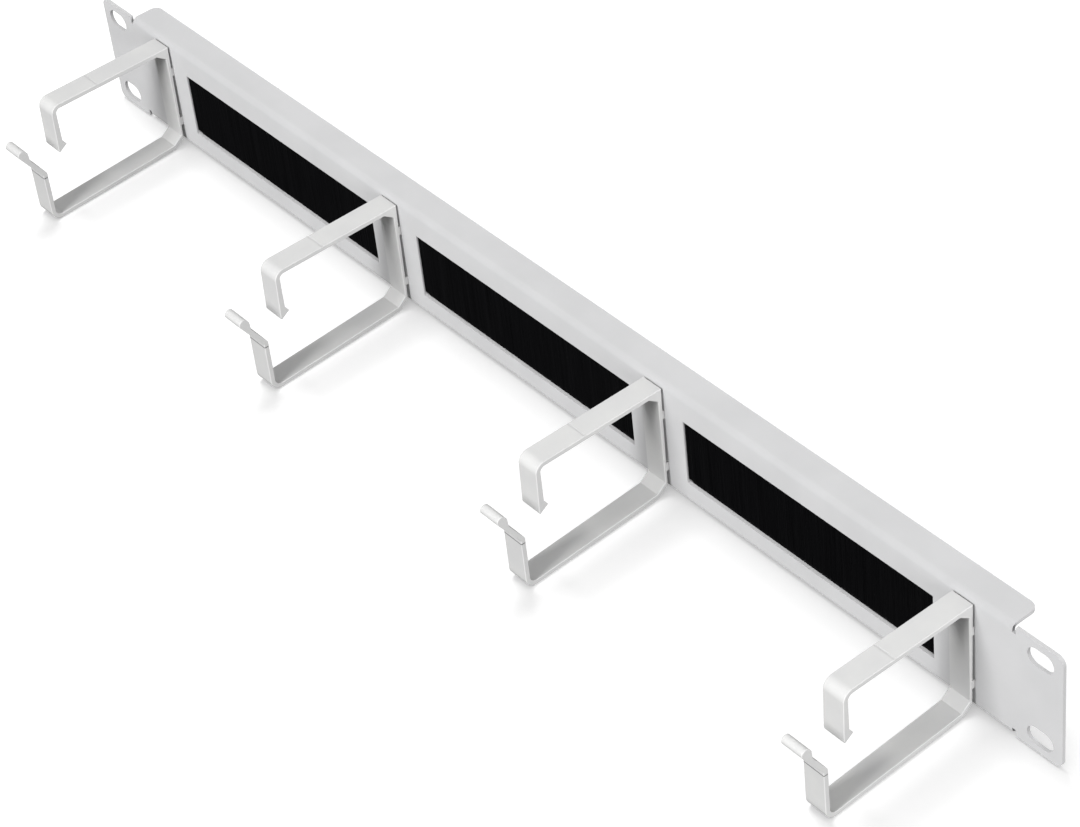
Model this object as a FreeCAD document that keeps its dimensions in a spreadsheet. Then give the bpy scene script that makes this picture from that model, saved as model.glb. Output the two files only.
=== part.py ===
import FreeCAD, Part
import Sketcher
import math
import os

# Rack cable management panel, one rack unit high, in millimetres.
# X runs along the panel, the viewer stands on the -Y side, Z is up.
# The origin is the middle of the four rack slots on the rear face of the ears.

document = FreeCAD.newDocument("CableManagementPanel")
sizes = document.addObject("Spreadsheet::Sheet", "Sizes")

driving_sizes = {
    # folded sheet panel
    "panel_width": 482.6,
    "panel_height": 44.0,
    "sheet_thickness": 1.2,
    "bend_radius": 1.0,
    "ear_width": 19.9,
    "flange_depth": 11.0,
    "flange_corner": 3.0,
    "ear_corner": 3.0,
    "relief_width": 1.5,
    "relief_depth": 0.4,
    # rack slots in the ears
    "slot_inset": 8.75,
    "slot_rise": 31.75,
    "slot_width": 6.8,
    "slot_length": 10.3,
    # windows behind which the brushes stand
    "window_width": 109.5,
    "window_top_margin": 10.25,
    "window_bottom_margin": 8.25,
    # moulded cable ring
    "ring_width": 8.6,
    "ring_wall": 1.8,
    "ring_gap": 0.6,
    "ring_gap_low": 1.3,
    "web_wall": 1.6,
    "edge_chamfer": 0.2,
    "ring_top": 20.4,
    "ring_reach": 51.3,
    "corner_run": 3.6,
    "corner_rise": 2.6,
    "upper_corner": 1.8,
    "finger_end": 1.0,
    "bead_height": 4.4,
    "bead_outside": 0.5,
    "bead_inside": 1.4,
    "bead_slant": 2.2,
    "bead_bevel": 0.7,
    "lower_reach": 60.0,
    "lower_inside": -20.4,
    "lower_slope": 3.4,
    "lower_corner": 2.4,
    "lip_fold": -4.8,
    "lip_angle": 57.0,
    "lip_length": 15.4,
    "lip_bead": 3.3,
    "lip_bead_start": 9.4,
    "lip_bead_full": 12.2,
    "lip_rounding": 1.5,
    "lip_corner": 2.5,
    "score_place": 31.0,
    "score_width": 0.8,
    "score_depth": 0.15,
    # snap pegs that hold a ring
    "peg_rise": 21.5,
    "peg_drop": 1.4,
    "peg_width": 4.6,
    "peg_height": 2.6,
    "peg_clearance": 0.2,
    "peg_seat_clearance": 0.1,
    "peg_barb": 0.7,
    "peg_barb_length": 2.6,
    "peg_slot": 0.8,
    "collar_border": 0.3,
    "collar_inset": 0.4,
    # brush strip
    "holder_lift": 1.0,
    "holder_headroom": 0.65,
    "holder_wall": 0.8,
    "bristle_depth": 2.9,
    "bristle_overlap": 2.0,
    "bristle_recess": 0.3,
    "bristle_clearance": 0.15,
    "holder_spare": 0.6,
    "tab_border": 1.0,
    "tab_to_peg": 1.85,
    # studs, nuts and washers
    "stud_diameter": 2.5,
    "stud_projection": 2.3,
    "stud_chamfer": 0.4,
    "stud_foot": 3.6,
    "stud_foot_recess": 0.1,
    "tab_clearance": 0.2,
    "nut_across": 5.0,
    "nut_height": 2.0,
    "nut_chamfer": 30.0,
    "thread_clearance": 0.05,
    "washer_diameter": 6.0,
    "washer_height": 0.5,
    "washer_clearance": 0.1,
}

for row, (alias, value) in enumerate(driving_sizes.items(), start=1):
    sizes.set("A" + str(row), alias)
    sizes.set("B" + str(row), str(value))
    sizes.setAlias("B" + str(row), alias)
document.recompute()


def size(alias):
    """Expression that reads one driving size."""
    return "Sizes." + alias


def new_body(name):
    """Body whose label is the name of its sub-part."""
    body = document.addObject("PartDesign::Body", name)
    body.Label = name
    return body


def new_sketch(body, role, name):
    """Sketch on one of the body's own origin planes."""
    sketch = body.newObject("Sketcher::SketchObject", name)
    plane = [item for item in body.Origin.OriginFeatures if item.Role == role][0]
    sketch.AttachmentSupport = [(plane, "")]
    sketch.MapMode = "FlatFace"
    document.recompute()
    return sketch


def pin(sketch, geometry, point, across, up):
    """Place one point of the sketch by two expressions."""
    for kind, text in (("DistanceX", across), ("DistanceY", up)):
        number = sketch.addConstraint(
            Sketcher.Constraint(kind, -1, 1, geometry, point, float(sketch.evalExpression(text)))
        )
        sketch.setExpression("Constraints[" + str(number) + "]", text)


def outline(sketch, corners):
    """Closed outline of straight lines through corners given as pairs of expressions."""
    places = []
    for across, up in corners:
        place = FreeCAD.Vector(float(sketch.evalExpression(across)), float(sketch.evalExpression(up)), 0)
        places.append(place)
    first = sketch.GeometryCount
    count = len(places)
    for index in range(count):
        line = Part.LineSegment(places[index], places[(index + 1) % count])
        sketch.addGeometry(line, False)
    for index in range(count):
        following = first + (index + 1) % count
        sketch.addConstraint(Sketcher.Constraint("Coincident", first + index, 2, following, 1))
    for index, (across, up) in enumerate(corners):
        pin(sketch, first + index, 1, across, up)


def rectangle(sketch, left, right, low, high):
    """Closed rectangle between four expressions."""
    outline(sketch, [(left, low), (right, low), (right, high), (left, high)])


def circle(sketch, across, up, diameter):
    """Circle with its centre and diameter given as expressions."""
    centre = FreeCAD.Vector(float(sketch.evalExpression(across)), float(sketch.evalExpression(up)), 0)
    radius = float(sketch.evalExpression(diameter)) / 2
    number = sketch.addGeometry(Part.Circle(centre, FreeCAD.Vector(0, 0, 1), radius), False)
    constraint = sketch.addConstraint(Sketcher.Constraint("Diameter", number, 2 * radius))
    sketch.setExpression("Constraints[" + str(constraint) + "]", diameter)
    pin(sketch, number, 3, across, up)


def pad(body, sketch, name, length, midplane=False, backwards=False):
    """Pad of a sketch by an expression."""
    feature = body.newObject("PartDesign::Pad", name)
    feature.Profile = sketch
    feature.SideType = "Symmetric" if midplane else "One side"
    feature.Reversed = backwards
    feature.setExpression("Length", length)
    document.recompute()
    return feature


def pocket(body, sketch, name):
    """Pocket through everything on both sides of its sketch."""
    volume = body.Shape.Volume
    feature = body.newObject("PartDesign::Pocket", name)
    feature.Profile = sketch
    feature.SideType = "Symmetric"
    feature.Type = "ThroughAll"
    document.recompute()
    if feature.Shape.Volume >= volume:
        raise RuntimeError(name + " cuts nothing")
    return feature


def row_along_x(body, feature, name, length, count):
    """Linear pattern of one feature along X, which becomes the tip of its body."""
    pattern = body.newObject("PartDesign::LinearPattern", name)
    pattern.Originals = [feature]
    axis = [item for item in body.Origin.OriginFeatures if item.Role == "X_Axis"][0]
    pattern.Direction = (axis, [""])
    pattern.setExpression("Length", length)
    pattern.Occurrences = count
    body.Tip = pattern
    document.recompute()
    return pattern


def edges_along(feature, direction, places, free):
    """Names of the straight edges along a direction through the given places.

    Each place is a triple of expressions, and the axis called free isn't compared.
    """
    tolerance = 0.01
    wanted = []
    for place in places:
        wanted.append([float(feature.evalExpression(text)) for text in place])
    kept = [axis for axis in range(3) if axis != free]
    names = []
    for number, edge in enumerate(feature.Shape.Edges, start=1):
        if not isinstance(edge.Curve, Part.Line):
            continue
        if abs(edge.Curve.Direction.dot(direction)) < 1 - tolerance:
            continue
        middle = edge.CenterOfMass
        for place in wanted:
            if max(abs(middle[axis] - place[axis]) for axis in kept) < tolerance:
                names.append("Edge" + str(number))
    return names


def side_edges(feature, half_width):
    """Names of the edges that outline the two flat sides of a strip centred on X."""
    tolerance = 0.001
    place = float(feature.evalExpression(half_width))
    names = []
    for number, edge in enumerate(feature.Shape.Edges, start=1):
        box = edge.BoundBox
        flat = box.XMax - box.XMin < tolerance
        if flat and abs(abs(box.XMax) - place) < tolerance:
            names.append("Edge" + str(number))
    return names


def fillet(body, feature, name, edges, radius):
    """Fillet of named edges by an expression."""
    if not edges:
        raise RuntimeError(name + " has no edges")
    rounding = body.newObject("PartDesign::Fillet", name)
    rounding.Base = (feature, edges)
    rounding.setExpression("Radius", radius)
    body.Tip = rounding
    document.recompute()
    return rounding


along_x = FreeCAD.Vector(1, 0, 0)
along_y = FreeCAD.Vector(0, 1, 0)

half_height = "Sizes.panel_height / 2"
flange_half = "(Sizes.panel_width / 2 - Sizes.ear_width)"
front_face = "-Sizes.sheet_thickness"
window_low = "(Sizes.window_bottom_margin - " + half_height + ")"
window_high = "(" + half_height + " - Sizes.window_top_margin)"

# brush holder: it fills the height between its window and the bend of the upper flange
holder_low = "(" + window_high + " + Sizes.holder_lift)"
holder_high = "(" + half_height + " - Sizes.sheet_thickness - Sizes.bend_radius - Sizes.holder_headroom)"
holder_rear = "(2 * Sizes.holder_wall + Sizes.bristle_depth)"
holder_half = "(Sizes.window_width / 2 + Sizes.holder_spare)"
tab_length = "(Sizes.washer_diameter + 2 * Sizes.tab_border)"
stud_offset = "(" + holder_half + " + " + tab_length + " / 2)"
stud_height = "(" + holder_low + " + " + holder_high + ") / 2"

# the rings stand midway between the tabs of neighbouring holders
ring_pitch = "2 * (" + holder_half + " + " + tab_length + " + Sizes.tab_to_peg + Sizes.peg_width / 2)"
peg_levels = ("Sizes.peg_rise / 2 - Sizes.peg_drop", "-Sizes.peg_rise / 2 - Sizes.peg_drop")


def make_panel():
    """Panel folded from one sheet: a C section with flat ears beyond the flanges."""
    body = new_body("panel")

    # C section, open to the rear
    section = new_sketch(body, "YZ_Plane", "panel_section")
    rear = "Sizes.flange_depth - Sizes.sheet_thickness"
    inner = half_height + " - Sizes.sheet_thickness"
    outline(section, [
        (front_face, "-(" + half_height + ")"),
        (rear, "-(" + half_height + ")"),
        (rear, "-(" + inner + ")"),
        ("0", "-(" + inner + ")"),
        ("0", inner),
        (rear, inner),
        (rear, half_height),
        (front_face, half_height),
    ])
    channel = pad(body, section, "channel", "2 * " + flange_half, midplane=True)

    # the four bends
    sides = ("", "-")
    outer_places = [("0", front_face, sign + "(" + half_height + ")") for sign in sides]
    outer_edges = edges_along(channel, along_x, outer_places, free=0)
    bends = fillet(body, channel, "outer_bends", outer_edges, "Sizes.bend_radius + Sizes.sheet_thickness")
    inner_places = [("0", "0", sign + "(" + inner + ")") for sign in sides]
    inner_edges = edges_along(bends, along_x, inner_places, free=0)
    bends = fillet(body, bends, "inner_bends", inner_edges, size("bend_radius"))

    # flat ears, narrower over the relief beside each flange
    relief = half_height + " - Sizes.bend_radius - Sizes.sheet_thickness - Sizes.relief_depth"
    root = flange_half
    shoulder = root + " + Sizes.relief_width"
    tip = "Sizes.panel_width / 2"
    ears = new_sketch(body, "XZ_Plane", "ear_outline")
    for sign in sides:
        outline(ears, [
            (sign + "(" + root + ")", "-(" + relief + ")"),
            (sign + "(" + shoulder + ")", "-(" + relief + ")"),
            (sign + "(" + shoulder + ")", "-(" + half_height + ")"),
            (sign + "(" + tip + ")", "-(" + half_height + ")"),
            (sign + "(" + tip + ")", half_height),
            (sign + "(" + shoulder + ")", half_height),
            (sign + "(" + shoulder + ")", relief),
            (sign + "(" + root + ")", relief),
        ])
    plates = pad(body, ears, "ear_plates", size("sheet_thickness"))

    # rounded corners of the ears and of the flanges
    ear_places = []
    for across in sides:
        for up in sides:
            ear_places.append((across + "(" + tip + ")", "0", up + "(" + half_height + ")"))
    ear_edges = edges_along(plates, along_y, ear_places, free=1)
    corners = fillet(body, plates, "ear_corners", ear_edges, size("ear_corner"))
    flange_places = []
    for across in sides:
        for up in sides:
            middle = up + "(" + half_height + " - Sizes.sheet_thickness / 2)"
            flange_places.append((across + "(" + root + ")", rear, middle))
    along_z = FreeCAD.Vector(0, 0, 1)
    flange_edges = edges_along(corners, along_z, flange_places, free=2)
    fillet(body, corners, "flange_corners", flange_edges, size("flange_corner"))

    # rack slots, each with its long axis along X
    slots = new_sketch(body, "XZ_Plane", "rack_slots")
    for across in sides:
        for up in sides:
            place = across + "(Sizes.panel_width / 2 - Sizes.slot_inset)"
            make_slot(slots, place, up + "Sizes.slot_rise / 2")
    pocket(body, slots, "rack_slot_cut")

    # three windows
    window = new_sketch(body, "XZ_Plane", "window_outline")
    first = "-" + ring_pitch
    rectangle(
        window,
        first + " - Sizes.window_width / 2",
        first + " + Sizes.window_width / 2",
        window_low,
        window_high,
    )
    cut = pocket(body, window, "window_cut")
    row_along_x(body, cut, "windows", "2 * " + ring_pitch, 3)

    # two holes for the snap pegs of each of the four rings
    holes = new_sketch(body, "XZ_Plane", "peg_holes")
    first = "-1.5 * " + ring_pitch
    half_width = "(Sizes.peg_width / 2 + Sizes.peg_clearance)"
    rise = "(Sizes.peg_height / 2 + Sizes.peg_clearance)"
    for level in peg_levels:
        rectangle(
            holes,
            first + " - " + half_width,
            first + " + " + half_width,
            level + " - " + rise,
            level + " + " + rise,
        )
    cut = pocket(body, holes, "peg_hole_cut")
    row_along_x(body, cut, "peg_hole_rows", "3 * " + ring_pitch, 4)
    return body


def make_slot(sketch, across, up):
    """Oblong hole of two half circles and two straight sides, centred on a point."""
    half_run = "(Sizes.slot_length - Sizes.slot_width) / 2"
    middle_x = float(sketch.evalExpression(across))
    middle_z = float(sketch.evalExpression(up))
    run = float(sketch.evalExpression(half_run))
    radius = float(sketch.evalExpression("Sizes.slot_width / 2"))
    normal = FreeCAD.Vector(0, 0, 1)
    right = Part.Circle(FreeCAD.Vector(middle_x + run, middle_z, 0), normal, radius)
    left = Part.Circle(FreeCAD.Vector(middle_x - run, middle_z, 0), normal, radius)
    quarter = math.pi / 2
    right_end = sketch.addGeometry(Part.ArcOfCircle(right, -quarter, quarter), False)
    left_end = sketch.addGeometry(Part.ArcOfCircle(left, quarter, 3 * quarter), False)
    high = Part.LineSegment(
        FreeCAD.Vector(middle_x + run, middle_z + radius, 0),
        FreeCAD.Vector(middle_x - run, middle_z + radius, 0),
    )
    low = Part.LineSegment(
        FreeCAD.Vector(middle_x - run, middle_z - radius, 0),
        FreeCAD.Vector(middle_x + run, middle_z - radius, 0),
    )
    high_side = sketch.addGeometry(high, False)
    low_side = sketch.addGeometry(low, False)
    sketch.addConstraint(Sketcher.Constraint("Tangent", right_end, 2, high_side, 1))
    sketch.addConstraint(Sketcher.Constraint("Tangent", high_side, 2, left_end, 1))
    sketch.addConstraint(Sketcher.Constraint("Tangent", left_end, 2, low_side, 1))
    sketch.addConstraint(Sketcher.Constraint("Tangent", low_side, 2, right_end, 1))
    number = sketch.addConstraint(Sketcher.Constraint("Radius", right_end, radius))
    sketch.setExpression("Constraints[" + str(number) + "]", "Sizes.slot_width / 2")
    pin(sketch, right_end, 3, across + " + " + half_run, up)
    pin(sketch, left_end, 3, across + " - " + half_run, up)


def forward(distance):
    """Y of a point that lies a distance in front of the panel's front face."""
    return "-(Sizes.sheet_thickness + " + distance + ")"


def make_ring(name, order):
    """Open cable ring, moulded in one piece with its two collars and snap pegs."""
    body = new_body(name)
    wall = "Sizes.ring_wall"
    web_front = "(Sizes.ring_gap + Sizes.web_wall)"
    slope = "Sizes.lower_slope * 1 deg"

    # lower arm: inner and outer face fall forward together
    def lower_inner(distance):
        return "Sizes.lower_inside - (" + distance + " - " + web_front + ") * tan(" + slope + ")"

    def lower_outer(distance):
        return lower_inner(distance) + " - " + wall + " / cos(" + slope + ")"

    # rear corner: inside chamfer, and outside chamfer one wall further out
    run = "Sizes.corner_run"
    rise = "Sizes.corner_rise"
    chamfer_start = "Sizes.lower_inside + " + rise
    chamfer_end = web_front + " + " + run
    steepness = "atan(" + rise + " / " + run + ")"
    web_wall_low = "(" + web_front + " - Sizes.ring_gap_low)"
    outside_start = chamfer_start + " - " + wall + " / cos(" + steepness + ")"
    outside_start += " + " + web_wall_low + " * " + rise + " / " + run
    outside_end = chamfer_end + " - " + wall + " * tan((" + steepness + " + " + slope + ") / 2)"

    # lip: a point at a distance along it and a height above its front face
    lip = "Sizes.lip_angle * 1 deg"

    def lip_point(distance, height):
        across = "(" + distance + ") * cos(" + lip + ") - (" + height + ") * sin(" + lip + ")"
        up = "(" + distance + ") * sin(" + lip + ") + (" + height + ") * cos(" + lip + ")"
        return forward("Sizes.lower_reach + " + across), "Sizes.lip_fold + " + up

    top = "Sizes.ring_top"
    reach = "Sizes.ring_reach"
    finger_inside = reach + " - " + wall
    low_front = "Sizes.lower_reach"
    low_inside = low_front + " - " + wall
    fold_inside = "Sizes.lip_fold + " + wall + " * tan((90 deg - " + lip + ") / 2)"
    bead_top = "Sizes.finger_end + Sizes.bead_height"
    upper_outside = (forward(reach), top)
    upper_inside = (forward(finger_inside), top + " - " + wall)
    lower_inside_corner = (forward(low_inside), lower_inner(low_inside))
    lower_outside_corner = (forward(low_front), lower_outer(low_front))
    lip_end_low = lip_point("Sizes.lip_length", "0")
    lip_end_high = lip_point("Sizes.lip_length", "Sizes.lip_bead")
    fold = (forward(low_front), "Sizes.lip_fold")

    profile = new_sketch(body, "YZ_Plane", name + "_profile")
    outline(profile, [
        (forward("Sizes.ring_gap"), top),
        upper_outside,
        (forward(reach + " + Sizes.bead_outside"), "Sizes.finger_end + Sizes.bead_bevel"),
        (forward(reach + " + Sizes.bead_outside - Sizes.bead_bevel / 2"), "Sizes.finger_end"),
        (forward(finger_inside + " - Sizes.bead_inside"), "Sizes.finger_end + Sizes.bead_slant"),
        (forward(finger_inside), bead_top),
        upper_inside,
        (forward(web_front + " + " + run), top + " - " + wall),
        (forward(web_front), top + " - " + wall + " - " + rise),
        (forward(web_front), chamfer_start),
        (forward(chamfer_end), lower_inner(chamfer_end)),
        lower_inside_corner,
        (forward(low_inside), fold_inside),
        lip_point("Sizes.lip_bead_start", wall),
        lip_point("Sizes.lip_bead_full", "Sizes.lip_bead"),
        lip_end_high,
        lip_end_low,
        fold,
        lower_outside_corner,
        (forward(outside_end), lower_outer(outside_end)),
        (forward("Sizes.ring_gap_low"), outside_start),
    ])
    strip = pad(body, profile, name + "_strip", size("ring_width"), midplane=True)

    # rounded corners of the strip
    edges = edges_along(strip, along_x, [("0",) + upper_outside], free=0)
    strip = fillet(body, strip, name + "_upper_outside", edges, "Sizes.upper_corner + " + wall)
    edges = edges_along(strip, along_x, [("0",) + upper_inside], free=0)
    strip = fillet(body, strip, name + "_upper_inside", edges, size("upper_corner"))
    edges = edges_along(strip, along_x, [("0",) + lower_outside_corner], free=0)
    strip = fillet(body, strip, name + "_lower_outside", edges, "Sizes.lower_corner + " + wall)
    edges = edges_along(strip, along_x, [("0",) + lower_inside_corner], free=0)
    strip = fillet(body, strip, name + "_lower_inside", edges, size("lower_corner"))
    edges = edges_along(strip, along_x, [("0", forward(low_inside), fold_inside)], free=0)
    strip = fillet(body, strip, name + "_lip_fold", edges, size("lip_corner"))
    edges = edges_along(strip, along_x, [("0",) + lip_end_low, ("0",) + lip_end_high], free=0)
    strip = fillet(body, strip, name + "_lip_end", edges, size("lip_rounding"))

    # the mould leaves both sides of the strip with a small bevel all round
    bevel = body.newObject("PartDesign::Chamfer", name + "_side_bevel")
    bevel.Base = (strip, side_edges(strip, "Sizes.ring_width / 2"))
    bevel.setExpression("Size", size("edge_chamfer"))
    body.Tip = bevel
    document.recompute()

    # score line across the top arm
    score = new_sketch(body, "YZ_Plane", name + "_score")
    rectangle(
        score,
        forward("Sizes.score_place + Sizes.score_width"),
        forward("Sizes.score_place"),
        top + " - Sizes.score_depth",
        top + " + Sizes.score_depth",
    )
    pocket(body, score, name + "_score_cut")

    # the collar behind the web holds it off the panel at each snap peg
    collars = new_sketch(body, "YZ_Plane", name + "_collar_outline")
    for level in peg_levels:
        half = "(Sizes.peg_height / 2 + Sizes.collar_border)"
        rectangle(collars, forward(web_front), front_face, level + " - " + half, level + " + " + half)
    pad(body, collars, name + "_collars", "Sizes.ring_width - 2 * Sizes.collar_inset", midplane=True)

    # each snap peg is two prongs that spring together through their hole, with a barb on each
    prongs = new_sketch(body, "YZ_Plane", name + "_prong_outline")
    seat = "Sizes.peg_seat_clearance"
    barb_tip = seat + " + Sizes.peg_barb_length"
    for level in peg_levels:
        for sign in (" + ", " - "):
            outline(prongs, [
                (front_face, level + sign + "Sizes.peg_slot / 2"),
                (front_face, level + sign + "Sizes.peg_height / 2"),
                (seat, level + sign + "Sizes.peg_height / 2"),
                (seat, level + sign + "(Sizes.peg_height / 2 + Sizes.peg_barb)"),
                (barb_tip, level + sign + "(Sizes.peg_height / 2 - Sizes.peg_clearance)"),
                (barb_tip, level + sign + "Sizes.peg_slot / 2"),
            ])
    pad(body, prongs, name + "_prongs", size("peg_width"), midplane=True)
    body.setExpression(".Placement.Base.x", "(" + str(order) + " - 2.5) * " + ring_pitch)
    return body


def make_holder(name, order):
    """Sheet channel that grips the bristles, with a flat tab at each end."""
    body = new_body(name)
    section = new_sketch(body, "YZ_Plane", name + "_section")
    wall = "Sizes.holder_wall"
    outline(section, [
        ("0", holder_low),
        ("0", holder_high),
        (holder_rear, holder_high),
        (holder_rear, holder_low),
        (wall + " + Sizes.bristle_depth", holder_low),
        (wall + " + Sizes.bristle_depth", holder_high + " - " + wall),
        (wall, holder_high + " - " + wall),
        (wall, holder_low),
    ])
    channel = pad(body, section, name + "_channel", "2 * " + holder_half, midplane=True)
    crown = [("0", holder_rear, holder_high)]
    edges = edges_along(channel, along_x, crown, free=0)
    fillet(body, channel, name + "_crown", edges, wall)

    tabs = new_sketch(body, "XZ_Plane", name + "_tab_outline")
    for side in ("", "-"):
        rectangle(
            tabs,
            side + holder_half,
            side + "(" + holder_half + " + " + tab_length + ")",
            holder_low,
            holder_high,
        )
        circle(tabs, side + stud_offset, stud_height, "Sizes.stud_foot + 2 * Sizes.tab_clearance")
    pad(body, tabs, name + "_tabs", wall, backwards=True)
    body.setExpression(".Placement.Base.x", "(" + str(order) + " - 2) * " + ring_pitch)
    return body


def make_bristles(name, order):
    """Dense row of bristles, clamped in its holder and bulging forward into the window."""
    body = new_body(name)
    front = size("holder_wall")
    rear = front + " + Sizes.bristle_depth"
    row = new_sketch(body, "YZ_Plane", name + "_row")
    low = window_low + " - Sizes.bristle_overlap"
    rectangle(row, front, rear, low, holder_high + " - Sizes.holder_wall")
    pad(body, row, name + "_block", "2 * " + holder_half, midplane=True)
    bulge = new_sketch(body, "YZ_Plane", name + "_bulge_outline")
    margin = "Sizes.bristle_clearance"
    rectangle(
        bulge,
        front_face + " + Sizes.bristle_recess",
        rear,
        window_low + " + " + margin,
        window_high + " - " + margin,
    )
    pad(body, bulge, name + "_bulge", "Sizes.window_width - 2 * " + margin, midplane=True)
    body.setExpression(".Placement.Base.x", "(" + str(order) + " - 2) * " + ring_pitch)
    return body


def place_at_stud(piece, order, side, depth):
    """Put a piece on the axis of one stud, at a depth behind the panel."""
    middle = "(" + str(order) + " - 2) * " + ring_pitch
    piece.setExpression(".Placement.Base.x", middle + " + " + side + stud_offset)
    piece.setExpression(".Placement.Base.y", depth)
    piece.setExpression(".Placement.Base.z", stud_height)


def make_stud(name, order, side):
    """Weld stud with its wider foot on the rear face of the panel."""
    body = new_body(name)
    foot = "Sizes.holder_wall - Sizes.stud_foot_recess"
    tip = "Sizes.holder_wall + Sizes.washer_height + Sizes.nut_height + Sizes.stud_projection"
    profile = new_sketch(body, "YZ_Plane", name + "_profile")
    outline(profile, [
        ("0", "0"),
        ("0", "Sizes.stud_foot / 2"),
        (foot, "Sizes.stud_foot / 2"),
        (foot, "Sizes.stud_diameter / 2"),
        (tip + " - Sizes.stud_chamfer", "Sizes.stud_diameter / 2"),
        (tip, "Sizes.stud_diameter / 2 - Sizes.stud_chamfer"),
        (tip, "0"),
    ])
    turned = body.newObject("PartDesign::Revolution", name + "_turned")
    turned.Profile = profile
    turned.ReferenceAxis = (profile, ["Edge7"])
    turned.Angle = 360.0
    document.recompute()
    place_at_stud(body, order, side, "0")
    return body


def make_nut(name, order, side):
    """Hexagon nut with its outer corners turned off."""
    body = new_body(name)
    hexagon = new_sketch(body, "XZ_Plane", name + "_hexagon")
    corner = "Sizes.nut_across / 2 / cos(30 deg)"
    corners = []
    for step in range(6):
        angle = str(60 * step) + " deg"
        corners.append((corner + " * cos(" + angle + ")", corner + " * sin(" + angle + ")"))
    outline(hexagon, corners)
    circle(hexagon, "0", "0", "Sizes.stud_diameter + 2 * Sizes.thread_clearance")
    block = pad(body, hexagon, name + "_block", size("nut_height"), backwards=True)

    # the corners of the rear face are turned off to a cone
    cone = new_sketch(body, "YZ_Plane", name + "_chamfer_profile")
    flat = "Sizes.nut_across / 2"
    outline(cone, [
        ("Sizes.nut_height", flat),
        ("Sizes.nut_height", "Sizes.nut_across"),
        ("Sizes.nut_height - " + flat + " * tan(Sizes.nut_chamfer * 1 deg)", "Sizes.nut_across"),
    ])
    groove = body.newObject("PartDesign::Groove", name + "_chamfer")
    groove.Profile = cone
    axis = [item for item in body.Origin.OriginFeatures if item.Role == "Y_Axis"][0]
    groove.ReferenceAxis = (axis, [""])
    groove.Angle = 360.0
    document.recompute()
    if groove.Shape.Volume >= block.Shape.Volume:
        raise RuntimeError(name + " chamfer cuts nothing")
    place_at_stud(body, order, side, "Sizes.holder_wall + Sizes.washer_height")
    return body


def make_washer(name, order, side):
    """Flat washer between the tab of the holder and the nut."""
    body = new_body(name)
    ring = new_sketch(body, "XZ_Plane", name + "_outline")
    circle(ring, "0", "0", size("washer_diameter"))
    circle(ring, "0", "0", "Sizes.stud_diameter + 2 * Sizes.washer_clearance")
    pad(body, ring, name + "_disc", size("washer_height"), backwards=True)
    place_at_stud(body, order, side, "Sizes.holder_wall")
    return body


nodes = [make_panel()]
for order in range(1, 5):
    nodes.append(make_ring("cable_ring_" + str(order), order))
for order in range(1, 4):
    nodes.append(make_holder("brush_holder_" + str(order), order))
    nodes.append(make_bristles("bristles_" + str(order), order))
    for place, side in (("left", "-"), ("right", "")):
        ending = str(order) + "_" + place
        nodes.append(make_stud("weld_stud_" + ending, order, side))
        nodes.append(make_washer("washer_" + ending, order, side))
        nodes.append(make_nut("nut_" + ending, order, side))
document.recompute()

# nothing is written before every object and every sub-part is sound
for item in document.Objects:
    if "Invalid" in item.State or "Error" in item.State:
        raise RuntimeError(item.Name + " failed: " + str(item.State))
for node in nodes:
    if node.Shape.isNull() or not node.Shape.isValid():
        raise RuntimeError(node.Label + " has no sound shape")
    if len(node.Shape.Solids) != 1:
        raise RuntimeError(node.Label + " isn't one solid")

os.makedirs("parts", exist_ok=True)
for node in nodes:
    node.Shape.exportStep("parts/" + node.Label + ".step")
    print(node.Label, round(node.Shape.Volume, 2))
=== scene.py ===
import bpy
import math
import random
from mathutils import Matrix, Vector


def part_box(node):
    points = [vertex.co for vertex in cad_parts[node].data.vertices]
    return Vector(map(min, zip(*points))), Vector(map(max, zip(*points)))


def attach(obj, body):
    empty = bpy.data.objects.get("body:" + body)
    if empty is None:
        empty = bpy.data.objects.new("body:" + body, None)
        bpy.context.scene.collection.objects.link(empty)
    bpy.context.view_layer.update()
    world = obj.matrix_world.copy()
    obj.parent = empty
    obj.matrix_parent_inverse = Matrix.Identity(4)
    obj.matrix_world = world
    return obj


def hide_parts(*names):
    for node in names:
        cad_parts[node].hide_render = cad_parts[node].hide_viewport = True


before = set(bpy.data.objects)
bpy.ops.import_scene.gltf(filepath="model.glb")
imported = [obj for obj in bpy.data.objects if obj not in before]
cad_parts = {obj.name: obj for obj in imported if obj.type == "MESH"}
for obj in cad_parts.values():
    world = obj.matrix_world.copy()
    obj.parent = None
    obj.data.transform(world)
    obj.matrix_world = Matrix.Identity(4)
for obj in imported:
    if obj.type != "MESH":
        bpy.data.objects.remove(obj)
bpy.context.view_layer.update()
bpy.ops.object.select_all(action="DESELECT")

# The camera stands high on the right of the panel and looks down along it, so that the panel
# runs from the upper left to the lower right of the picture.
camera_place = Vector((0.69488, -0.48473, 0.69064))
camera_ahead = Vector((-0.62219, 0.43578, -0.65037))
camera_above = Vector((-0.45893, 0.47001, 0.75397))
camera_side = camera_ahead.cross(camera_above).normalized()
camera_above = camera_side.cross(camera_ahead).normalized()
bpy.ops.object.camera_add(location=camera_place)
camera = bpy.context.object
camera.name = "camera"
turn = Matrix((camera_side, camera_above, -camera_ahead.normalized())).transposed()
camera.rotation_euler = turn.to_euler()
camera.data.sensor_width = 36.0
camera.data.lens = 111.475
camera.data.clip_end = 10.0
bpy.context.scene.camera = camera
bpy.ops.object.select_all(action="DESELECT")

# The panel is one folded steel sheet. Its light grey powder coat is baked on, and flows into a
# very fine satin orange-peel with a slightly cloudy tone. It scatters light like a rough wall,
# so that the folds don't shine out.


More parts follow.
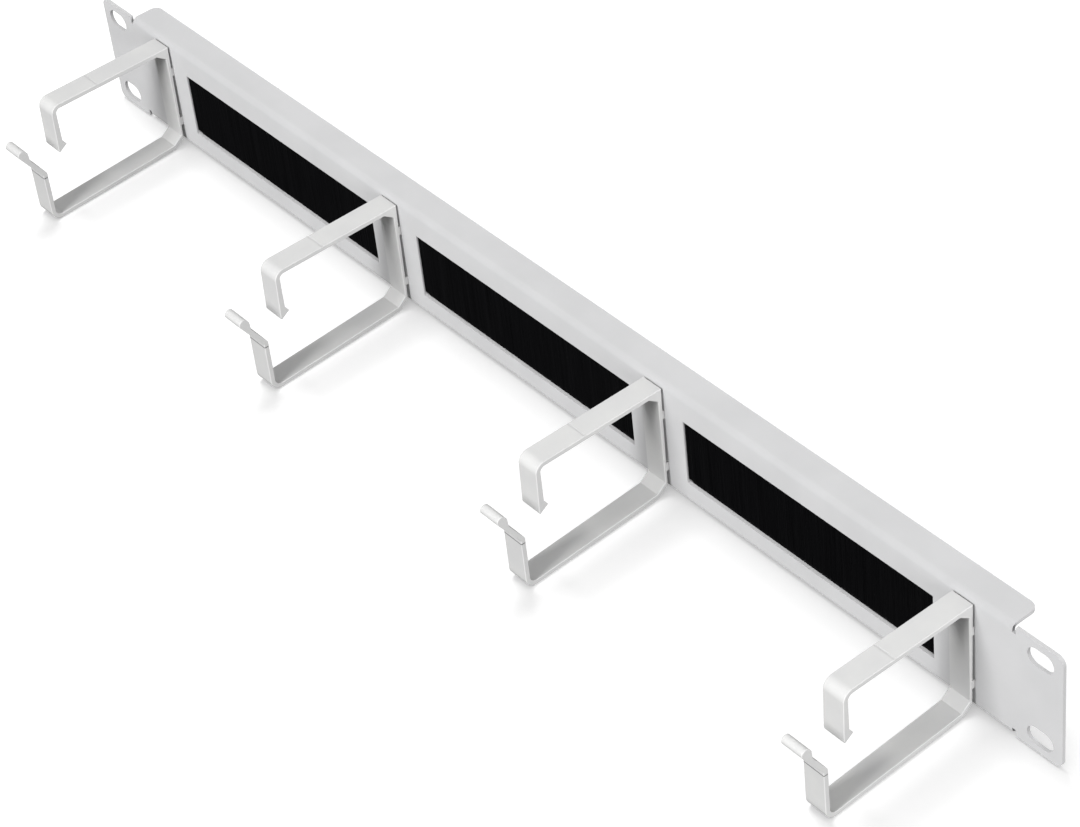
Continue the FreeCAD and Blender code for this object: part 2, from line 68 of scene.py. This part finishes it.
def plain_material(name, colour, roughness):
    """Material with one shader, and the handles of its nodes and links."""
    material = bpy.data.materials.new(name)
    material.use_nodes = True
    nodes = material.node_tree.nodes
    links = material.node_tree.links
    shader = nodes["Principled BSDF"]
    shader.inputs["Base Color"].default_value = (*colour, 1.0)
    shader.inputs["Roughness"].default_value = roughness
    shader.inputs["Specular IOR Level"].default_value = 0.15
    return material, nodes, links, shader


def mottled_colour(nodes, links, shader, dark, light, scale):
    """Soft cloudy change of colour between two close tones."""
    place = nodes.new("ShaderNodeTexCoord")
    cloud = nodes.new("ShaderNodeTexNoise")
    cloud.inputs["Scale"].default_value = scale
    cloud.inputs["Detail"].default_value = 4.0
    tones = nodes.new("ShaderNodeValToRGB")
    tones.color_ramp.elements[0].position = 0.35
    tones.color_ramp.elements[0].color = (*dark, 1.0)
    tones.color_ramp.elements[1].position = 0.65
    tones.color_ramp.elements[1].color = (*light, 1.0)
    links.new(place.outputs["Object"], cloud.inputs["Vector"])
    links.new(cloud.outputs["Fac"], tones.inputs["Fac"])
    links.new(tones.outputs["Color"], shader.inputs["Base Color"])
    return place


def grainy_surface(nodes, links, shader, place, scale, height):
    """Fine grain of the surface, in height only."""
    grain = nodes.new("ShaderNodeTexNoise")
    grain.inputs["Scale"].default_value = scale
    grain.inputs["Detail"].default_value = 2.0
    bump = nodes.new("ShaderNodeBump")
    bump.inputs["Strength"].default_value = 0.35
    bump.inputs["Distance"].default_value = height
    links.new(place.outputs["Object"], grain.inputs["Vector"])
    links.new(grain.outputs["Fac"], bump.inputs["Height"])
    links.new(bump.outputs["Normal"], shader.inputs["Normal"])
    return grain


def wear_roughness(nodes, links, shader, grain, low, high):
    """Roughness that changes a little with the grain, from low to high."""
    spread = nodes.new("ShaderNodeMapRange")
    spread.inputs["To Min"].default_value = low
    spread.inputs["To Max"].default_value = high
    links.new(grain.outputs["Fac"], spread.inputs["Value"])
    links.new(spread.outputs["Result"], shader.inputs["Roughness"])


def dress(node, material):
    """Give a CAD node's slots one material."""
    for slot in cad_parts[node].material_slots:
        slot.material = material


powder_coat, nodes, links, shader = plain_material("powder_coat", (0.4, 0.4, 0.4), 0.5)
shader.inputs["Diffuse Roughness"].default_value = 0.7
place = mottled_colour(nodes, links, shader, (0.396, 0.396, 0.4), (0.414, 0.414, 0.418), 60.0)
grain = grainy_surface(nodes, links, shader, place, 2600.0, 0.00003)
wear_roughness(nodes, links, shader, grain, 0.5, 0.64)
dress("panel", powder_coat)

# The cable rings are injection moulded in a light grey plastic that matches the coat, with a
# faint spark-eroded grain. They snap into the panel with pegs of their own.
ring_plastic, nodes, links, shader = plain_material("ring_plastic", (0.46, 0.46, 0.46), 0.45)
place = mottled_colour(nodes, links, shader, (0.455, 0.455, 0.455), (0.48, 0.48, 0.475), 90.0)
grain = grainy_surface(nodes, links, shader, place, 3800.0, 0.00002)
wear_roughness(nodes, links, shader, grain, 0.46, 0.6)
# a fine dark line of painted shade crosses the outside of the front wall, under the fold of the
# lip, where the fold shades the wall:
# the colour is darkened where a point lies near the line's height and in front of the wall's skin
crease_shade_height = -0.0061
crease_shade_width = 0.00044
front_wall = -0.0597
axes = nodes.new("ShaderNodeSeparateXYZ")
above_line = nodes.new("ShaderNodeMath")
above_line.operation = "SUBTRACT"
above_line.inputs[1].default_value = crease_shade_height
off_line = nodes.new("ShaderNodeMath")
off_line.operation = "ABSOLUTE"
clear_of_line = nodes.new("ShaderNodeMapRange")
clear_of_line.inputs["From Min"].default_value = crease_shade_width / 4
clear_of_line.inputs["From Max"].default_value = crease_shade_width / 2
clear_of_line.inputs["To Min"].default_value = 0.12
behind_wall = nodes.new("ShaderNodeMath")
behind_wall.operation = "GREATER_THAN"
behind_wall.inputs[1].default_value = front_wall
clear = nodes.new("ShaderNodeMath")
clear.operation = "MAXIMUM"
shade = nodes.new("ShaderNodeMix")
shade.data_type = "RGBA"
shade.blend_type = "MULTIPLY"
# sockets of a colour mix: 0 is its factor, 6 and 7 are the two colours, and output 2 is the result
shade.inputs[0].default_value = 1.0
links.new(place.outputs["Object"], axes.inputs["Vector"])
links.new(axes.outputs["Z"], above_line.inputs[0])
links.new(above_line.outputs["Value"], off_line.inputs[0])
links.new(off_line.outputs["Value"], clear_of_line.inputs["Value"])
links.new(axes.outputs["Y"], behind_wall.inputs[0])
links.new(clear_of_line.outputs["Result"], clear.inputs[0])
links.new(behind_wall.outputs["Value"], clear.inputs[1])
links.new(shader.inputs["Base Color"].links[0].from_socket, shade.inputs[6])
links.new(clear.outputs["Value"], shade.inputs[7])
links.new(shade.outputs[2], shader.inputs["Base Color"])
for order in range(1, 5):
    dress("cable_ring_" + str(order), ring_plastic)

# The brush holders are drawn aluminium channels with long die lines. Each one grips a brush
# above its window and is bolted to the back of the panel through a tab at each end.
drawn_aluminium, nodes, links, shader = plain_material("drawn_aluminium", (0.82, 0.83, 0.84), 0.35)
shader.inputs["Metallic"].default_value = 0.65
place = nodes.new("ShaderNodeTexCoord")
stretch = nodes.new("ShaderNodeMapping")
stretch.inputs["Scale"].default_value = (8.0, 2400.0, 2400.0)
lines = nodes.new("ShaderNodeTexNoise")
lines.inputs["Scale"].default_value = 1.0
links.new(place.outputs["Object"], stretch.inputs["Vector"])
links.new(stretch.outputs["Vector"], lines.inputs["Vector"])
wear_roughness(nodes, links, shader, lines, 0.25, 0.5)
for order in range(1, 4):
    dress("brush_holder_" + str(order), drawn_aluminium)

# Weld studs, washers and nuts are steel with bright zinc plate, a little cloudy and yellow in
# places. The studs are welded to the back of the panel and carry the holders' tabs.
zinc_plate, nodes, links, shader = plain_material("zinc_plate", (0.62, 0.62, 0.6), 0.3)
shader.inputs["Metallic"].default_value = 1.0
place = mottled_colour(nodes, links, shader, (0.68, 0.7, 0.72), (0.82, 0.81, 0.76), 700.0)
grain = grainy_surface(nodes, links, shader, place, 5000.0, 0.00001)
wear_roughness(nodes, links, shader, grain, 0.22, 0.4)
for order in range(1, 4):
    for side in ("left", "right"):
        dress("weld_stud_" + str(order) + "_" + side, zinc_plate)
        dress("washer_" + str(order) + "_" + side, zinc_plate)
        dress("nut_" + str(order) + "_" + side, zinc_plate)

# Each brush is a dense curtain of black nylon filaments. They are clamped in the holder above,
# bulge forward into the window, and hang past its lower edge behind the panel.
black_nylon, nodes, links, shader = plain_material("black_nylon", (0.002, 0.002, 0.0025), 0.5)
shader.inputs["Specular IOR Level"].default_value = 0.08
place = nodes.new("ShaderNodeTexCoord")
stretch = nodes.new("ShaderNodeMapping")
stretch.inputs["Scale"].default_value = (900.0, 900.0, 30.0)
streaks = nodes.new("ShaderNodeTexNoise")
streaks.inputs["Scale"].default_value = 1.0
tones = nodes.new("ShaderNodeValToRGB")
tones.color_ramp.elements[0].color = (0.001, 0.001, 0.0012, 1.0)
tones.color_ramp.elements[1].color = (0.004, 0.004, 0.0045, 1.0)
links.new(place.outputs["Object"], stretch.inputs["Vector"])
links.new(stretch.outputs["Vector"], streaks.inputs["Vector"])
links.new(streaks.outputs["Fac"], tones.inputs["Fac"])
links.new(tones.outputs["Color"], shader.inputs["Base Color"])
filament_radius = 0.00019
filament_pitch = 0.0004
filament_wander = 0.00008
knot_wander = 0.00006
tuft_count = 12
row_count = 3
bulging_half_width = 0.0545
bulging_row_pitch = 0.0006
straight_half_width = 0.0552
straight_first_row = 0.0004
straight_row_pitch = 0.0007
# shortest filament of a row, as a share of the longest
bulging_shortest = 0.99
straight_shortest = 0.955
# depth behind the panel's rear face and height of each knot, for filaments in the window
bulging_path = (
    (0.0012, 0.0183), (0.0012, 0.0122), (-0.0006, 0.0109), (-0.0006, 0.0000),
    (-0.0006, -0.0122), (0.0004, -0.0133), (0.0012, -0.0155),
)
straight_path = ((0.0012, 0.0183), (0.0012, 0.0090), (0.0012, -0.0040), (0.0012, -0.0155))


def hanging_filament(path, middle, step_back):
    """One filament, drawn down from its clamped end through the knots of its path."""
    depth, height = path[0]
    clamped_end = (middle, depth + step_back, height)
    bpy.ops.mesh.primitive_circle_add(
        vertices=4, radius=filament_radius, fill_type="NGON", location=clamped_end
    )
    bpy.ops.object.mode_set(mode="EDIT")
    for knot_depth, knot_height in path[1:]:
        drop = (0.0, knot_depth - depth, knot_height - height)
        bpy.ops.mesh.extrude_region_move(TRANSFORM_OT_translate={"value": drop})
        depth, height = knot_depth, knot_height
    bpy.ops.mesh.select_all(action="SELECT")
    bpy.ops.mesh.normals_make_consistent(inside=False)
    bpy.ops.object.mode_set(mode="OBJECT")
    return bpy.context.object


def bristle_row(path, middle, half_width, step_back, shortest, chance):
    """Row of equal tufts, whose filaments differ a little in length and place."""
    row_tufts = math.ceil(2 * half_width / (filament_pitch * tuft_count))
    pitch = 2 * half_width / (row_tufts * tuft_count)
    start = middle - half_width + pitch / 2
    tuft = [hanging_filament(path, start, step_back)]
    for place_in_tuft in range(1, tuft_count):
        bpy.ops.object.select_all(action="DESELECT")
        tuft[0].select_set(True)
        bpy.context.view_layer.objects.active = tuft[0]
        shift = (pitch * place_in_tuft, chance.uniform(-filament_wander, filament_wander), 0.0)
        bpy.ops.object.duplicate_move(TRANSFORM_OT_translate={"value": shift})
        bpy.context.object.scale.z = chance.uniform(shortest, 1.0)
        tuft.append(bpy.context.object)
    for filament in tuft:
        filament.select_set(True)
    bpy.context.view_layer.objects.active = tuft[0]
    bpy.ops.object.join()
    bpy.ops.object.transform_apply(location=True, rotation=True, scale=True)
    row = bpy.context.object
    tufts = row.modifiers.new("tufts", "ARRAY")
    tufts.use_relative_offset = False
    tufts.use_constant_offset = True
    tufts.constant_offset_displace = (pitch * tuft_count, 0.0, 0.0)
    tufts.count = row_tufts
    bpy.ops.object.modifier_apply(modifier=tufts.name)
    return row


for order in range(1, 4):
    chance = random.Random(20 + order)
    low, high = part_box("bristles_" + str(order))
    middle = (low[0] + high[0]) / 2
    rows = []
    for step in range(row_count):
        step_back = bulging_row_pitch * step
        rows.append(bristle_row(
            bulging_path, middle, bulging_half_width, step_back, bulging_shortest, chance
        ))
    for step in range(row_count):
        step_back = straight_first_row + straight_row_pitch * step
        rows.append(bristle_row(
            straight_path, middle, straight_half_width, step_back, straight_shortest, chance
        ))
    bpy.ops.object.select_all(action="DESELECT")
    for row in rows:
        row.select_set(True)
    curtain = rows[0]
    bpy.context.view_layer.objects.active = curtain
    bpy.ops.object.join()
    bpy.ops.object.mode_set(mode="EDIT")
    bpy.ops.mesh.select_all(action="SELECT")
    bpy.ops.transform.vertex_random(offset=knot_wander, seed=order)
    bpy.ops.object.mode_set(mode="OBJECT")
    curtain.name = "bristle_curtain_" + str(order)
    curtain.data.materials.append(black_nylon)
    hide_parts("bristles_" + str(order))
    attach(curtain, "root")
    bpy.ops.object.select_all(action="DESELECT")

# The object stands on a plain white floor, which lies under the rings' front corners and the
# lower flange. It is lit and seen, but throws no light back at the object.
bpy.ops.mesh.primitive_plane_add(size=6.0, location=(0.0, 0.0, 0.0))
floor = bpy.context.object
floor.name = "floor"
ring_rest = Vector((0.0, -0.0580, -0.02538))
flange_rest = Vector((0.0, 0.0098, -0.0220))
slope = math.atan2(flange_rest.z - ring_rest.z, flange_rest.y - ring_rest.y)
floor.location = ring_rest
floor.rotation_euler = (slope, 0.0, 0.0)
white_floor, nodes, links, shader = plain_material("white_floor", (0.85, 0.85, 0.85), 0.8)
shader.inputs["Emission Color"].default_value = (1.0, 1.0, 1.0, 1.0)
shader.inputs["Emission Strength"].default_value = 0.4
floor.data.materials.append(white_floor)
floor.visible_diffuse = False
floor.visible_glossy = False
bpy.ops.object.select_all(action="DESELECT")

# Soft studio light: a tall lamp in front, others on the right and behind, and a white room that
# is brighter overhead. The picture is shown without a film curve, so that white stays white.
world = bpy.data.worlds.new("studio")
bpy.context.scene.world = world
world.use_nodes = True
room = world.node_tree.nodes["Background"]
room.inputs["Strength"].default_value = 0.62
direction = world.node_tree.nodes.new("ShaderNodeTexCoord")
axes = world.node_tree.nodes.new("ShaderNodeSeparateXYZ")
wall = world.node_tree.nodes.new("ShaderNodeMapRange")
wall.inputs["From Min"].default_value = -0.4
wall.inputs["From Max"].default_value = 0.8
world.node_tree.links.new(direction.outputs["Generated"], axes.inputs["Vector"])
world.node_tree.links.new(axes.outputs["Z"], wall.inputs["Value"])
world.node_tree.links.new(wall.outputs["Result"], room.inputs["Color"])
bpy.context.scene.view_settings.view_transform = "Standard"


def studio_lamp(name, place, width, height, power):
    """Rectangular soft lamp that faces the panel."""
    bpy.ops.object.light_add(type="AREA", location=place)
    lamp = bpy.context.object
    lamp.name = name
    lamp.data.shape = "RECTANGLE"
    lamp.data.size = width
    lamp.data.size_y = height
    lamp.data.energy = power
    lamp.rotation_euler = (-Vector(place)).to_track_quat("-Z", "Y").to_euler()
    return lamp


front_lamp = studio_lamp("front_lamp", (0.15, -2.4, 1.4), 0.95, 1.5, 102.0)
right_lamp = studio_lamp("right_lamp", (2.6, -0.3, 0.7), 1.2, 1.2, 75.0)
rear_lamp = studio_lamp("rear_lamp", (-1.3, 1.9, 0.8), 1.4, 1.2, 27.0)
# The floor has a lamp of its own, high on the left, so that a soft shadow falls to the right.
floor_lamp = studio_lamp("floor_lamp", (-0.8, 0.15, 2.5), 0.9, 0.9, 28.0)
floor_alone = bpy.data.collections.new("floor_alone")
floor_alone.objects.link(floor)
floor_lamp.light_linking.receiver_collection = floor_alone
floor_left_out = bpy.data.collections.new("floor_left_out")
floor_left_out.objects.link(floor)
floor_left_out.collection_objects[0].light_linking.link_state = "EXCLUDE"
for lamp in (front_lamp, right_lamp, rear_lamp):
    lamp.light_linking.receiver_collection = floor_left_out
bpy.ops.object.select_all(action="DESELECT")
